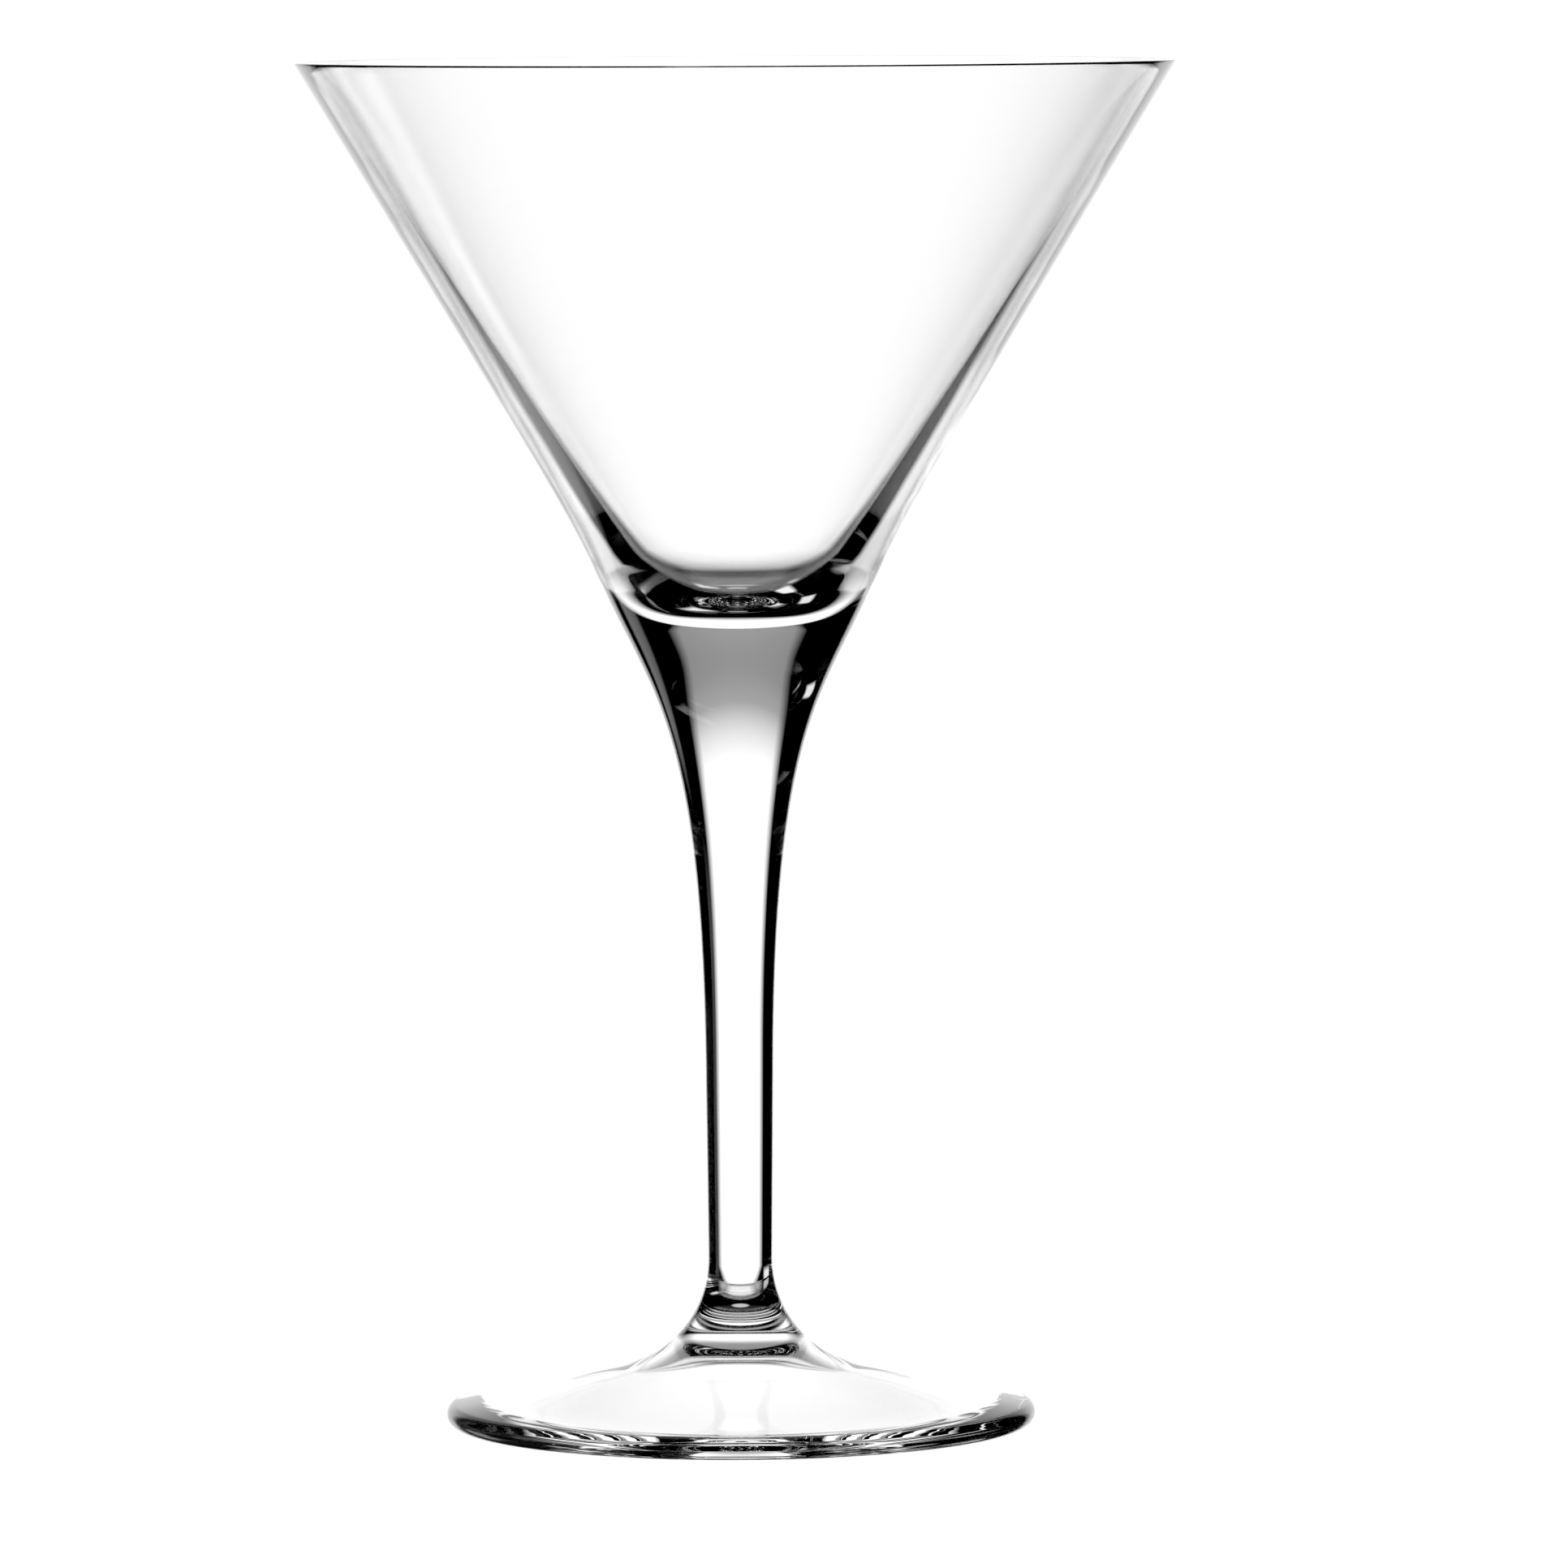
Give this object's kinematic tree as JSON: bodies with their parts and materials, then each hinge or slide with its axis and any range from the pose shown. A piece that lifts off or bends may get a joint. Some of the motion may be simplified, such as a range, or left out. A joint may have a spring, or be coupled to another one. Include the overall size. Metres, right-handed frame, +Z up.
{
  "type": "martini glass",
  "caption": "Clear stemmed cocktail glass with a wide conical bowl, a thick rounded base inside, a solid stem and a pressed foot.",
  "frame": {"origin": "on the glass's axis, in the plane that the foot stands on", "axes": "+Z up along the glass's axis of revolution, from foot to lip"},
  "size_m": [0.1106, 0.1106, 0.172],
  "materials": {
    "bowl_glass": "clear soda-lime glass, fire polished",
    "stem_glass": "clear soda-lime glass, fire polished",
    "foot_glass": "clear soda-lime glass, pressed and fire polished"
  },
  "bodies": {
    "root": {"bowl": "bowl_glass", "stem": "stem_glass", "foot": "foot_glass"}
  },
  "joints": []
}
